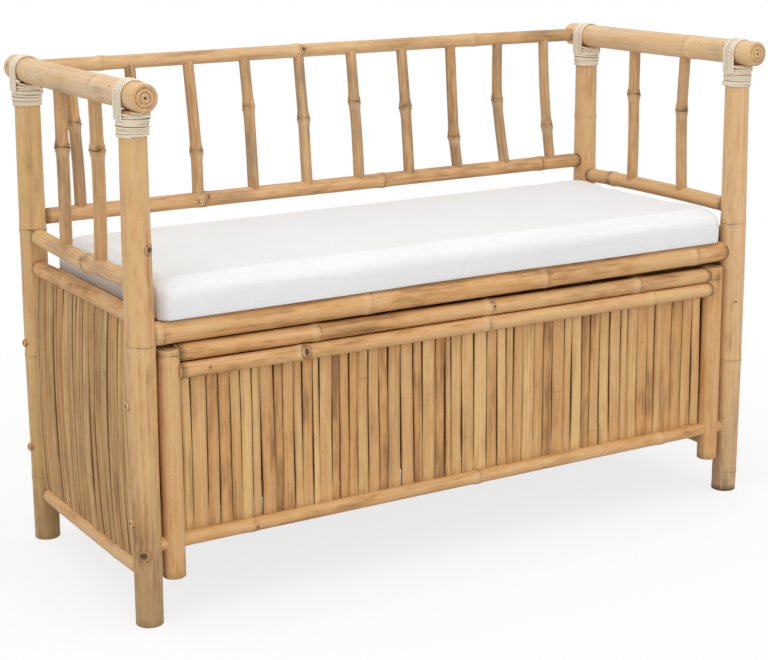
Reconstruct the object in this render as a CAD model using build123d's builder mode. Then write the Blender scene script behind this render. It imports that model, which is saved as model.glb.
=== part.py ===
from build123d import *
import math
import os

# Bamboo storage bench: lashed legs and arms, a slatted front that folds down, a loose seat cushion.
# Millimetres. The origin is on the floor under the middle of the bench,
# +X runs along its length, -Y is the front and +Z is up.

# Legs
leg_spacing_x = 962.0
leg_spacing_y = 362.0
leg_foot_radius = 17.8
leg_belly_radius = 19.2
leg_top_radius = 17.2

# Arms
arm_rise_above_seat = 297.0
arm_rail_radius = 17.5
arm_overhang = 38.0
arm_end_chamfer = 2.5
lower_arm_rise_above_seat = 67.0
lower_arm_radius = 11.0
arm_spindle_radius = 8.5
arm_spindle_places = (-64.0, 56.0)

# Back
back_mid_rise_above_seat = 91.5
back_mid_radius = 11.0
back_top_radius = 9.8
back_top_setback = 24.0
back_spindle_radius = 8.2
back_spindle_count = 10
back_spindle_pitch = 91.0

# Seat
seat_rail_height = 376.0
seat_rail_radius = 15.0
bearer_radius = 9.0
bearer_count = 3
bearer_pitch = 300.0
seat_slat_count = 8
seat_slat_width = 30.0
seat_slat_thickness = 8.0
seat_slat_pitch = 39.0

# Sides
side_top_rise_above_seat = 22.0
side_top_radius = 11.0
side_bottom_height = 68.0
side_bottom_radius = 10.0
mid_rail_shares = (0.212, 0.673)
mid_rail_radius = 7.0
side_slat_count = 22
side_slat_thickness = 4.0
peg_radius = 3.4
peg_head = 2.6
peg_sides = 6
peg_taper = 12.0

# Rear panel and compartment floor
rear_bottom_radius = 10.0
rear_slat_count = 40
floor_slat_count = 9
floor_slat_width = 28.0
floor_slat_thickness = 8.0
floor_slat_pitch = 34.0

# Front flap, which turns about its bottom rail
pivot_height = 103.0
pivot_rail_radius = 9.5
pivot_tenon = 9.0
flap_side_gap = 0.8
flap_post_radius = 15.5
flap_post_drop = 46.0
flap_head_gap = 7.0
flap_top_radius = 11.0
flap_post_above_rail = 9.0
flap_rail_spacing = 21.0
flap_upper_radius = 10.0
flap_slat_count = 56
slat_thickness = 5.0
slat_edge_bevel = 1.2
batten_width = 22.0
batten_thickness = 6.0
batten_inset = 20.0

# Cane lashings at the tops of the legs
cane_radius = 2.65
cane_sides = 4
neck_pitch = 5.8
neck_turns = 4
neck_drop = 5.0
strap_strands = 3
strap_pitch = 5.2

# Cushion
cushion_gap_to_leg = 5.0
cushion_front_reach = 10.0
cushion_back_gap = 5.0
cushion_thickness = 42.0
cushion_crown = 7.0
cushion_corner_cut = 18.0
cushion_draw_in = 4.0
cushion_bottom_inset = 3.0
cushion_edge_inset = 7.0
cushion_crown_inset = 90.0

# Growth rings of the poles, and how closely pieces meet
culm_sides = 16
spindle_sides = 12
ring_height = 0.5
ring_step = 2.5
mouth_contact = 0.8
seat_clearance = 0.2
pivot_clearance = 0.08
rest_gap = 0.3
slat_gap = 0.5

# Places that follow from the sizes above
leg_x = leg_spacing_x / 2
leg_y = leg_spacing_y / 2
arm_axis_height = seat_rail_height + arm_rise_above_seat
lower_arm_height = seat_rail_height + lower_arm_rise_above_seat
back_mid_height = seat_rail_height + back_mid_rise_above_seat
side_top_height = seat_rail_height + side_top_rise_above_seat
side_panel_height = side_top_height - side_bottom_height
mid_rail_heights = [side_bottom_height + share * side_panel_height for share in mid_rail_shares]
rear_bottom_height = pivot_height
flap_top_height = seat_rail_height - seat_rail_radius - flap_head_gap - flap_post_above_rail
flap_upper_height = flap_top_height - flap_rail_spacing
leg_top_height = arm_axis_height - arm_rail_radius - seat_clearance
back_top_y = leg_y + back_top_setback
rail_reach_x = leg_x - leg_belly_radius
rail_reach_y = leg_y - leg_belly_radius
panel_reach_x = rail_reach_x - ring_height - rest_gap
panel_reach_y = rail_reach_y - ring_height - rest_gap
ring_room = ring_height + seat_clearance
flap_post_x = rail_reach_x - ring_height - flap_side_gap - flap_post_radius
sides = {"left": -1, "right": 1}
depths = {"front": -1, "back": 1}
lengthwise = (1, 0, 0)
depthwise = (0, 1, 0)
upright = (0, 0, 1)


def save(piece, name):
    """Label a finished piece and write it as its own file."""
    piece.part.label = name
    export_step(piece.part, f"parts/{name}.step")


def between(values, share):
    """Value at a share of the way along evenly spaced values."""
    place = share * (len(values) - 1)
    index = min(int(place), len(values) - 2)
    return values[index] + (values[index + 1] - values[index]) * (place - index)


def culm(start, end, radii, rings=(), end_chamfer=0.0, bores=(), mouths=(), side_count=culm_sides):
    """A bamboo pole from start to end, with many flat sides, that steps down past each growth ring.

    radii are evenly spaced along it, rings the shares of the length that carry a growth ring,
    bores a list of (plane at the hole's mouth, radius, depth), and mouths a list of
    (point, axis, radius) of the round poles that its ends straddle with a V-shaped cut.
    """
    start = Vector(*start)
    run = Vector(*end) - start
    length = run.length
    direction = run.normalized()
    across = Plane(origin=start, z_dir=direction).x_dir
    sections = {share / (len(radii) - 1): radius for share, radius in enumerate(radii)}
    step_share = ring_step / length
    for ring in rings:
        sections[ring] = between(radii, ring) + ring_height
        sections[ring + step_share] = between(radii, ring + step_share)
    if end_chamfer:
        chamfer_share = end_chamfer / length
        sections[chamfer_share] = radii[0]
        sections[1 - chamfer_share] = radii[-1]
        sections[0] = radii[0] - end_chamfer
        sections[1] = radii[-1] - end_chamfer
    thickest = max(radii)
    with BuildPart() as pole:
        for share in sorted(sections):
            with BuildSketch(Plane(origin=start + run * share, x_dir=across, z_dir=direction)):
                RegularPolygon(sections[share], side_count)
        loft(ruled=True)
        for mouth, radius, depth in bores:
            with Locations(mouth):
                Hole(radius, depth)
        for point, axis, radius in mouths:
            outward = Vector(*point) - (start + run * 0.5)
            reach = radius + seat_clearance
            half = 1.5 * thickest
            tilt = math.asin(mouth_contact * thickest / reach)
            throat = -reach / math.cos(tilt)
            lip = throat + half * math.tan(tilt)
            mouth_outline = [(throat, 0), (lip, half), (reach, half), (reach, -half), (lip, -half)]
            with BuildSketch(Plane(origin=point, x_dir=outward, z_dir=axis)):
                with BuildLine():
                    Polyline(*mouth_outline, close=True)
                make_face()
            extrude(amount=half, both=True, mode=Mode.SUBTRACT)
    return pole


def leg_radius(height):
    """Radius of a leg at a height."""
    return between((leg_foot_radius, leg_belly_radius, leg_top_radius), height / leg_top_height)


def rail_between_legs(start, end, radius, rings=(), side_count=culm_sides):
    """A straight rail from one leg's axis to another's, its ends cut to straddle the legs."""
    mouths = [(point, upright, leg_radius(point[2]) + ring_height) for point in (start, end)]
    return culm(start, end, (radius, radius), rings=rings, mouths=mouths, side_count=side_count)


def slat_layout(width, count):
    """Centres and widths of split slats that fill a width unevenly, as hand-split bamboo does."""
    golden = (math.sqrt(5) - 1) / 2
    shares = [0.8 + 0.4 * ((index * golden) % 1) for index in range(count)]
    place = -width / 2
    for share in shares:
        slot = width * share / sum(shares)
        yield place + slot / 2, slot - slat_gap
        place += slot


def strips(height, length, width, thickness, count, pitch):
    """Flat laths lying side by side along the length, their undersides at one height."""
    with BuildPart() as laths:
        with Locations((0, 0, height)):
            with GridLocations(0, pitch, 1, count):
                Box(length, width, thickness, align=(Align.CENTER, Align.CENTER, Align.MIN))
    return laths


def battens(y, align_y, half_length, heights):
    """Two flat battens along the length, which the slats of a panel are fixed to."""
    with BuildPart() as pair:
        for height in heights:
            with Locations((0, y, height)):
                lie = (Align.CENTER, align_y, Align.MIN)
                Box(2 * half_length, batten_thickness, batten_width, align=lie)
    return pair


os.makedirs("parts", exist_ok=True)

# Legs, the front ones bored for the ends of the flap's bottom rail
leg_rings = {
    "front_left": (0.147, 0.535, 0.72),
    "front_right": (0.315, 0.634, 0.86),
    "back_left": (0.14, 0.409, 0.7),
    "back_right": (0.22, 0.5, 0.77),
}
for depth_name, depth in depths.items():
    for side_name, side in sides.items():
        inner_mouth = Plane(origin=(side * rail_reach_x, depth * leg_y, pivot_height), z_dir=(-side, 0, 0))
        pivot_bore = (inner_mouth, pivot_rail_radius + pivot_clearance, pivot_tenon + rest_gap)
        leg = culm(
            (side * leg_x, depth * leg_y, 0),
            (side * leg_x, depth * leg_y, leg_top_height),
            (leg_foot_radius, leg_belly_radius, leg_top_radius),
            rings=leg_rings[f"{depth_name}_{side_name}"],
            bores=[pivot_bore] if depth_name == "front" else [],
        )
        save(leg, f"leg_{depth_name}_{side_name}")

# Arm rails, lying across the tops of the legs
arm_reach = leg_y + arm_overhang
for side_name, side in sides.items():
    arm_rail = culm(
        (side * leg_x, -arm_reach, arm_axis_height),
        (side * leg_x, arm_reach, arm_axis_height),
        (arm_rail_radius, arm_rail_radius),
        rings=(0.3,),
        end_chamfer=arm_end_chamfer,
    )
    save(arm_rail, f"arm_rail_{side_name}")

# Rails of the two sides
side_rails = {
    "lower_arm_rail": (lower_arm_height, lower_arm_radius, (0.49,)),
    "side_top_rail": (side_top_height, side_top_radius, (0.2, 0.72)),
    "side_bottom_rail": (side_bottom_height, side_bottom_radius, (0.15, 0.6)),
}
for side_name, side in sides.items():
    for rail_name, (height, radius, rings) in side_rails.items():
        ends = [(side * leg_x, depth * leg_y, height) for depth in depths.values()]
        save(rail_between_legs(*ends, radius, rings), f"{rail_name}_{side_name}")

# Mid rails behind the side slats, which the slats bow out over
for side_name, side in sides.items():
    for level, height in zip(("lower", "upper"), mid_rail_heights):
        ends = [(side * leg_x, depth * leg_y, height) for depth in depths.values()]
        mid_rail = rail_between_legs(*ends, mid_rail_radius, side_count=spindle_sides)
        save(mid_rail, f"side_mid_rail_{level}_{side_name}")

# Upright spindles under the arms
for side_name, side in sides.items():
    for place_name, y, ring in zip(("front", "rear"), arm_spindle_places, (0.62, 0.6)):
        foot = (side * leg_x, y, lower_arm_height)
        head = (side * leg_x, y, arm_axis_height)
        arm_spindle = culm(
            foot,
            head,
            (arm_spindle_radius, arm_spindle_radius),
            rings=(ring,),
            mouths=[
                (foot, depthwise, lower_arm_radius + ring_height),
                (head, depthwise, arm_rail_radius + ring_height),
            ],
            side_count=spindle_sides,
        )
        save(arm_spindle, f"arm_spindle_{place_name}_{side_name}")

# Back rails: the lower one between the legs, the upper one between the arm rails
back_mid_ends = [(side * leg_x, leg_y, back_mid_height) for side in sides.values()]
save(rail_between_legs(*back_mid_ends, back_mid_radius, (0.288, 0.589, 0.902)), "back_mid_rail")
back_top_ends = [(side * leg_x, back_top_y, arm_axis_height) for side in sides.values()]
back_top_rail = culm(
    *back_top_ends,
    (back_top_radius, back_top_radius),
    rings=(0.123, 0.433, 0.784),
    mouths=[(end, depthwise, arm_rail_radius + ring_height) for end in back_top_ends],
)
save(back_top_rail, "back_top_rail")

# Raked back spindles
spindle_rings = (0.62, 0.38, 0.34, 0.62, 0.51, 0.6, 0.54, 0.28, 0.53, 0.29)
for index in range(back_spindle_count):
    x = (index - (back_spindle_count - 1) / 2) * back_spindle_pitch
    foot = (x, leg_y, back_mid_height)
    head = (x, back_top_y, arm_axis_height)
    back_spindle = culm(
        foot,
        head,
        (back_spindle_radius, back_spindle_radius),
        rings=(spindle_rings[index % len(spindle_rings)],),
        mouths=[
            (foot, lengthwise, back_mid_radius + ring_height),
            (head, lengthwise, back_top_radius + ring_height),
        ],
        side_count=spindle_sides,
    )
    save(back_spindle, f"back_spindle_{index + 1}")

# Seat rails
seat_rings = {"front": (0.339, 0.639, 0.923), "back": (0.5,)}
for depth_name, depth in depths.items():
    ends = [(side * leg_x, depth * leg_y, seat_rail_height) for side in sides.values()]
    save(rail_between_legs(*ends, seat_rail_radius, seat_rings[depth_name]), f"seat_rail_{depth_name}")

# Seat slats, just proud of the seat rails, and the cross bearers that carry them
seat_slat_top = seat_rail_height + seat_rail_radius + ring_height
seat_slat_bottom = seat_slat_top - seat_slat_thickness
bearer_height = seat_slat_bottom - seat_clearance - bearer_radius
bearer_reach = leg_y - seat_rail_radius - ring_room
with BuildPart() as seat_bearers:
    with BuildSketch(Plane(origin=(0, -bearer_reach, bearer_height), x_dir=lengthwise, z_dir=depthwise)):
        with GridLocations(bearer_pitch, 0, bearer_count, 1):
            RegularPolygon(bearer_radius, spindle_sides)
    extrude(amount=2 * bearer_reach)
save(seat_bearers, "seat_bearers")
seat_slats = strips(
    seat_slat_bottom,
    2 * panel_reach_x,
    seat_slat_width,
    seat_slat_thickness,
    seat_slat_count,
    seat_slat_pitch,
)
save(seat_slats, "seat_slats")

# Side curtains: slats held between the side rails and bent outwards over the mid rails
side_slat_bottom = side_bottom_height + side_bottom_radius + ring_room
side_slat_top = side_top_height - side_top_radius - ring_room
side_slat_ends_x = leg_x - side_slat_thickness / 2
side_slat_bent_x = leg_x + mid_rail_radius + rest_gap
for side_name, side in sides.items():
    bent = [
        (side_slat_ends_x, side_slat_bottom),
        (side_slat_bent_x, mid_rail_heights[0]),
        (side_slat_bent_x, mid_rail_heights[1]),
        (side_slat_ends_x, side_slat_top),
    ]
    outline = [(side * x, height) for x, height in bent]
    outline += [(side * (x + side_slat_thickness), height) for x, height in reversed(bent)]
    with BuildPart() as side_slats:
        for centre, width in slat_layout(2 * panel_reach_y, side_slat_count):
            with BuildSketch(Plane(origin=(0, centre + width / 2, 0), x_dir=lengthwise, z_dir=(0, -1, 0))):
                with BuildLine():
                    Polyline(*outline, close=True)
                make_face()
            extrude(amount=width)
    save(side_slats, f"side_slats_{side_name}")

# Whittled heads of the pegs that hold the mid rails in the legs
with BuildPart() as locking_pegs:
    for side in sides.values():
        for depth in depths.values():
            for height in mid_rail_heights:
                seat_x = leg_x + leg_radius(height) + ring_room
                with BuildSketch(Plane(origin=(side * seat_x, depth * leg_y, height), z_dir=(side, 0, 0))):
                    RegularPolygon(peg_radius, peg_sides)
                extrude(amount=peg_head, taper=peg_taper)
save(locking_pegs, "locking_pegs")

# Rear panel
rear_bottom_ends = [(side * leg_x, leg_y, rear_bottom_height) for side in sides.values()]
save(rail_between_legs(*rear_bottom_ends, rear_bottom_radius, (0.36,)), "rear_bottom_rail")
rear_slat_bottom = rear_bottom_height + rear_bottom_radius + ring_room
rear_slat_top = seat_rail_height - seat_rail_radius - ring_room
rear_slat_length = rear_slat_top - rear_slat_bottom
rear_slat_inner = leg_y - slat_thickness / 2
with BuildPart() as rear_slats:
    for centre, width in slat_layout(2 * panel_reach_x, rear_slat_count):
        with Locations((centre, rear_slat_inner, rear_slat_bottom)):
            Box(width, slat_thickness, rear_slat_length, align=(Align.CENTER, Align.MIN, Align.MIN))
save(rear_slats, "rear_slats")
rear_batten_heights = (rear_slat_bottom + batten_inset, rear_slat_top - batten_inset - batten_width)
save(battens(rear_slat_inner, Align.MAX, panel_reach_x, rear_batten_heights), "rear_battens")

# Floor of the compartment, laid on the lower mid rails
floor_height = mid_rail_heights[0] + mid_rail_radius + seat_clearance
floor_length = 2 * (leg_x + mid_rail_radius / 2)
floor_slats = strips(
    floor_height,
    floor_length,
    floor_slat_width,
    floor_slat_thickness,
    floor_slat_count,
    floor_slat_pitch,
)
save(floor_slats, "floor_slats")

# Posts of the front flap, bored for the bottom rail
flap_y = -leg_y
flap_inner_reach = flap_post_x - flap_post_radius
flap_outer_reach = flap_post_x + flap_post_radius
for side_name, side in sides.items():
    outer_mouth = Plane(origin=(side * flap_outer_reach, flap_y, pivot_height), z_dir=(side, 0, 0))
    flap_post = culm(
        (side * flap_post_x, flap_y, pivot_height - flap_post_drop),
        (side * flap_post_x, flap_y, flap_top_height + flap_post_above_rail),
        (flap_post_radius, flap_post_radius),
        bores=[(outer_mouth, pivot_rail_radius + ring_room, 2 * flap_post_radius)],
    )
    save(flap_post, f"flap_post_{side_name}")

# Rails of the front flap: the bottom one reaches into the legs and is the pivot
pivot_reach = rail_reach_x + pivot_tenon
flap_bottom_rail = culm(
    (-pivot_reach, flap_y, pivot_height),
    (pivot_reach, flap_y, pivot_height),
    (pivot_rail_radius, pivot_rail_radius),
    rings=(0.147, 0.52, 0.872),
)
save(flap_bottom_rail, "flap_bottom_rail")
flap_top_ends = [(side * flap_post_x, flap_y, flap_top_height) for side in sides.values()]
flap_top_rail = culm(
    *flap_top_ends,
    (flap_top_radius, flap_top_radius),
    rings=(0.235, 0.54, 0.84),
    mouths=[(end, upright, flap_post_radius) for end in flap_top_ends],
)
save(flap_top_rail, "flap_top_rail")
flap_slat_face = flap_y + pivot_rail_radius / 3
flap_upper_y = flap_slat_face - ring_room - flap_upper_radius
flap_upper_reach = flap_inner_reach - seat_clearance
flap_upper_rail = culm(
    (-flap_upper_reach, flap_upper_y, flap_upper_height),
    (flap_upper_reach, flap_upper_y, flap_upper_height),
    (flap_upper_radius, flap_upper_radius),
    rings=(0.205, 0.535, 0.862),
)
save(flap_upper_rail, "flap_upper_rail")

# Slats of the flap, their outer long edges eased, and the battens behind them
flap_slat_bottom = pivot_height + pivot_rail_radius + ring_room
flap_slat_top = flap_top_height - flap_top_radius - ring_room
flap_slat_back = flap_slat_face + slat_thickness
flap_panel_reach = flap_inner_reach - slat_gap
with BuildPart() as flap_slats:
    with BuildSketch(Plane(origin=(0, flap_slat_back, flap_slat_bottom), x_dir=(-1, 0, 0), z_dir=upright)):
        for centre, width in slat_layout(2 * flap_panel_reach, flap_slat_count):
            half = width / 2
            shoulder = slat_thickness - slat_edge_bevel
            with BuildLine():
                Polyline(
                    (centre - half, 0),
                    (centre + half, 0),
                    (centre + half, shoulder),
                    (centre + half - slat_edge_bevel, slat_thickness),
                    (centre - half + slat_edge_bevel, slat_thickness),
                    (centre - half, shoulder),
                    close=True,
                )
            make_face()
    extrude(amount=flap_slat_top - flap_slat_bottom)
save(flap_slats, "flap_slats")
flap_batten_heights = (flap_slat_bottom + batten_inset, flap_slat_top - batten_width)
save(battens(flap_slat_back, Align.MIN, flap_panel_reach, flap_batten_heights), "flap_battens")

# Cane windings round the necks of the legs, each one unbroken strand
neck_radius = leg_top_radius + ring_room + cane_radius
neck_top = arm_axis_height - arm_rail_radius - neck_drop
half_turns = 2 * neck_turns


def winding_point(turn):
    """Place on the winding after a number of turns, about an upright axis."""
    angle = 2 * math.pi * turn
    return Vector(neck_radius * math.cos(angle), neck_radius * math.sin(angle), -neck_pitch * turn)


def winding_direction(turn):
    """Direction of the strand after a number of turns."""
    angle = 2 * math.pi * turn
    fall = neck_pitch / (2 * math.pi * neck_radius)
    return Vector(-math.sin(angle), math.cos(angle), -fall).normalized()


def arc_joint(start, start_direction, end, end_direction):
    """Where the two arcs of a smooth pair meet, and their direction there."""
    gap = end - start
    spread = start_direction + end_direction
    first = spread.dot(spread) - 4
    second = -2 * gap.dot(spread)
    third = gap.dot(gap)
    reach = (-second - math.sqrt(second**2 - 4 * first * third)) / (2 * first)
    corner = start + start_direction * reach
    far_corner = end - end_direction * reach
    return (corner + far_corner) * 0.5, (far_corner - corner).normalized()


def winding_gap(wire, samples):
    """Least clear distance between neighbouring turns, measured on points of the strand."""
    points = [wire.position_at(index / samples) for index in range(samples + 1)]
    half_turn = samples // half_turns
    least = min(
        (points[later] - points[index]).length
        for index in range(len(points))
        for later in range(index + half_turn, len(points))
    )
    return least - 2 * cane_radius


with BuildPart() as lashing_necks:
    for side in sides.values():
        for depth in depths.values():
            centre = Vector(side * leg_x, depth * leg_y, neck_top - cane_radius)
            with BuildLine() as strand:
                for half_turn in range(half_turns):
                    begin = winding_point(half_turn / 2)
                    begin_way = winding_direction(half_turn / 2)
                    finish = winding_point((half_turn + 1) / 2)
                    finish_way = winding_direction((half_turn + 1) / 2)
                    joint, joint_way = arc_joint(begin, begin_way, finish, finish_way)
                    TangentArc(centre + begin, centre + joint, tangent=begin_way)
                    TangentArc(centre + joint, centre + finish, tangent=joint_way)
            with BuildSketch(Plane(origin=centre + winding_point(0), z_dir=winding_direction(0))):
                RegularPolygon(cane_radius, cane_sides)
            sweep(path=strand.wire())
print(f"least gap between turns of a neck winding: {winding_gap(strand.wire(), 60 * neck_turns):.2f} mm")
save(lashing_necks, "lashing_necks")

# Cane straps over the arm rails, whose strands end on the top turn of the winding below
strap_radius = arm_rail_radius + seat_clearance + cane_radius
strap_foot = neck_top + rest_gap
with BuildPart() as lashing_straps:
    for side in sides.values():
        for depth in depths.values():
            for strand_index in range(strap_strands):
                y = depth * leg_y + (strand_index - (strap_strands - 1) / 2) * strap_pitch
                left = side * leg_x - strap_radius
                right = side * leg_x + strap_radius
                left_turn = (left, y, arm_axis_height)
                crest = (side * leg_x, y, arm_axis_height + strap_radius)
                right_turn = (right, y, arm_axis_height)
                with BuildLine() as strap:
                    Line((left, y, strap_foot), left_turn)
                    ThreePointArc(left_turn, crest, right_turn)
                    Line(right_turn, (right, y, strap_foot))
                with BuildSketch(Plane(origin=(left, y, strap_foot), z_dir=upright)):
                    RegularPolygon(cane_radius, cane_sides, rotation=180 / cane_sides)
                sweep(path=strap.wire())
save(lashing_straps, "lashing_straps")

# Seat cushion: flat below, crowned above, its sides drawn in between the corners
cushion_half_x = leg_x - leg_belly_radius - cushion_gap_to_leg
cushion_front = -leg_y - cushion_front_reach
cushion_back = leg_y - back_mid_radius - cushion_back_gap
cushion_half_y = (cushion_back - cushion_front) / 2
cushion_middle_y = (cushion_back + cushion_front) / 2
cushion_bottom = seat_slat_top + rest_gap
cushion_levels = [
    (0, cushion_bottom_inset),
    (cushion_thickness / 2, 0),
    (cushion_thickness, cushion_edge_inset),
    (cushion_thickness + cushion_crown, cushion_crown_inset),
]
with BuildPart() as seat_cushion:
    for level, inset in cushion_levels:
        half_x = cushion_half_x - inset
        half_y = cushion_half_y - inset
        corner_x = half_x - cushion_corner_cut
        corner_y = half_y - cushion_corner_cut
        drawn_x = half_x - cushion_draw_in
        drawn_y = half_y - cushion_draw_in
        with BuildSketch(Plane(origin=(0, cushion_middle_y, cushion_bottom + level))):
            with BuildLine():
                ThreePointArc((half_x, -corner_y), (drawn_x, 0), (half_x, corner_y))
                Line((half_x, corner_y), (corner_x, half_y))
                ThreePointArc((corner_x, half_y), (0, drawn_y), (-corner_x, half_y))
                Line((-corner_x, half_y), (-half_x, corner_y))
                ThreePointArc((-half_x, corner_y), (-drawn_x, 0), (-half_x, -corner_y))
                Line((-half_x, -corner_y), (-corner_x, -half_y))
                ThreePointArc((-corner_x, -half_y), (0, -drawn_y), (corner_x, -half_y))
                Line((corner_x, -half_y), (half_x, -corner_y))
            make_face()
    loft(ruled=True)
save(seat_cushion, "seat_cushion")
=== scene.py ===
import math

import bpy
import numpy as np
from mathutils import Matrix, Vector


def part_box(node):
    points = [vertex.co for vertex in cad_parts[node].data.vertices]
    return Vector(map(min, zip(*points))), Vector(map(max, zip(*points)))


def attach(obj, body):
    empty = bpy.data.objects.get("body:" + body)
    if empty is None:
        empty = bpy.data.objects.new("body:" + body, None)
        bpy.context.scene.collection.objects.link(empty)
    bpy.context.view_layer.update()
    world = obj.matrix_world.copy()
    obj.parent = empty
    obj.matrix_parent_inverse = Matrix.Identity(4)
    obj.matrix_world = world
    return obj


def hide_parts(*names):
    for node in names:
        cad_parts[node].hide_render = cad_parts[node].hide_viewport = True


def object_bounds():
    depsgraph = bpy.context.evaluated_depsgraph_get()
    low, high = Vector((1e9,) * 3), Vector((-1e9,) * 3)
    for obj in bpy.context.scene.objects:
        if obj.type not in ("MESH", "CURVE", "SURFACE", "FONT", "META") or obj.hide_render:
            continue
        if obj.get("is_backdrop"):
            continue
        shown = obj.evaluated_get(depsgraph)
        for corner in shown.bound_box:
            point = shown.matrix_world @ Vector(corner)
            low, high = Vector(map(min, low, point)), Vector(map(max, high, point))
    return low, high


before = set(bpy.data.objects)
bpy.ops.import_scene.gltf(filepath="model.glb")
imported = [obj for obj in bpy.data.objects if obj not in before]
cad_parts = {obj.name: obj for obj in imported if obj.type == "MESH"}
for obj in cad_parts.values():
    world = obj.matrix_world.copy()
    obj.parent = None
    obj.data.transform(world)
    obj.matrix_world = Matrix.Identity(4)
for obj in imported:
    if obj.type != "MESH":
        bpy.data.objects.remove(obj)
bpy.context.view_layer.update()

# Looks of the bamboo storage bench. Metres, in the part's own frame: the origin is on the floor under the
# middle of the bench, +X runs along its length, -Y is the front and +Z is up.

# Camera: position, heading from +Y towards +X, tilt below the horizon, roll, focal length and shift
CAMERA_PLACE = (-1.306, -2.1243, 0.9166)
CAMERA_HEADING = math.radians(31.18)
CAMERA_TILT = math.radians(11.84)
CAMERA_ROLL = math.radians(-0.35)
IMAGE_WIDTH = 768
FOCAL_PIXELS = 1756.6
CAMERA_SHIFT_Y = -0.1
SENSOR_WIDTH = 36.0

# Studio: strength of the light from all round, floor size, and how white the floor glows by distance
SURROUND_STRENGTH = 0.77
FLOOR_SIZE = 12
FLOOR_GLOW = (0.78, 1.0)
FLOOR_GLOW_REACH = (0.5, 1.4)

# Colours of the bamboo
YELLOW = (0.73, 0.475, 0.186)
TAN = (0.72, 0.435, 0.205)
HONEY = (0.68, 0.367, 0.135)
TOAST = (0.38, 0.185, 0.067)
STRAW = (0.81, 0.51, 0.215)
GREY_TAN = (0.68, 0.4, 0.166)
# Near-black of scars and specks, also used for painted shade on slats and pegs
SCAR_AND_SHADE = (0.075, 0.04, 0.02)
PALE = (0.86, 0.65, 0.41)
FIBRE_DEPTH = 0.0007

# Poles: leg radii at foot, middle and top, how far a leg's ends are cut back, height of the CAD's rings,
# and the step between rows of points
LEG_RADII = (0.0178, 0.0192, 0.0172)
LEG_TRIM = 0.0008
CAD_RING_HEIGHT = 0.0005
POLE_ROW_STEP = 0.01

# Each leg: tone, paleness, darkness of its ring lines, of its lower part and of its foot's rim
LEG_LOOKS = {
    "front_left": (0.4, 0.06, 0.42, 0.42, 0.6),
    "front_right": (0.32, 0.34, 0.42, 0.25, 0.9),
    "back_left": (0.14, 0.0, 0.8, 0.35, 0.5),
    "back_right": (0.4, 0.15, 0.15, 0.3, 0.5),
}

# Where each pole has its growth rings, in metres along the axis that it runs on
RINGS = {
    "leg_front_left": (0.365,),
    "leg_front_right": (0.03, 0.208, 0.419),
    "leg_back_left": (0.092, 0.27, 0.451),
    "leg_back_right": (0.15, 0.33, 0.54),
    "arm_rail_left": (-0.088,),
    "arm_rail_right": (-0.078,),
    "lower_arm_rail_left": (-0.035,),
    "lower_arm_rail_right": (0.105,),
    "side_top_rail_left": (0.06,),
    "side_top_rail_right": (-0.05,),
    "side_bottom_rail_left": (0.11, -0.09),
    "side_bottom_rail_right": (0.03,),
    "side_mid_rail_lower_left": (0.05,),
    "side_mid_rail_lower_right": (-0.04,),
    "side_mid_rail_upper_left": (-0.07,),
    "side_mid_rail_upper_right": (0.02,),
    "back_mid_rail": (-0.221, 0.086, 0.387),
    "back_top_rail": (-0.363, -0.047, 0.273),
    "seat_rail_front": (-0.452, -0.155, 0.134, 0.407),
    "seat_rail_back": (-0.3, 0.02, 0.33),
    "rear_bottom_rail": (-0.33, -0.02, 0.29),
    "flap_bottom_rail": (-0.333, 0.019, 0.351),
    "flap_top_rail": (-0.234, 0.036, 0.299),
    "flap_upper_rail": (-0.261, 0.031, 0.321),
    "flap_post_left": (0.347,),
    "flap_post_right": (0.338,),
    "arm_spindle_front_left": (0.593,),
    "arm_spindle_rear_left": (0.581,),
    "arm_spindle_front_right": (0.575,),
    "arm_spindle_rear_right": (0.588,),
}
BACK_SPINDLE_RINGS = (0.592, 0.546, 0.538, 0.596, 0.572, 0.592, 0.578, 0.525, 0.577, 0.528)

# Dark scars of cut branches: pole, place along its axis, heading round it in degrees, and size
SCARS = {
    "leg_front_left": ((0.097, -128, 0.0095), (0.486, -58, 0.0082)),
    "flap_upper_rail": ((-0.258, 76, 0.0082), (-0.395, 80, 0.0024)),
    "flap_top_rail": ((0.041, 78, 0.0046),),
    "back_top_rail": ((-0.04, 74, 0.006),),
    "back_mid_rail": ((-0.216, 62, 0.004), (-0.232, 95, 0.0026)),
    "lower_arm_rail_left": ((-0.03, -62, 0.0048),),
    "flap_bottom_rail": ((-0.33, 100, 0.003),),
    "leg_front_right": ((0.3, -110, 0.0022),),
    "arm_rail_left": ((-0.15, -60, 0.002), (0.06, -40, 0.0016), (0.207, -75, 0.0034)),
    "arm_rail_right": ((-0.165, -55, 0.0018), (-0.118, -70, 0.0014)),
    "side_top_rail_left": ((0.02, -70, 0.003),),
}

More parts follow.
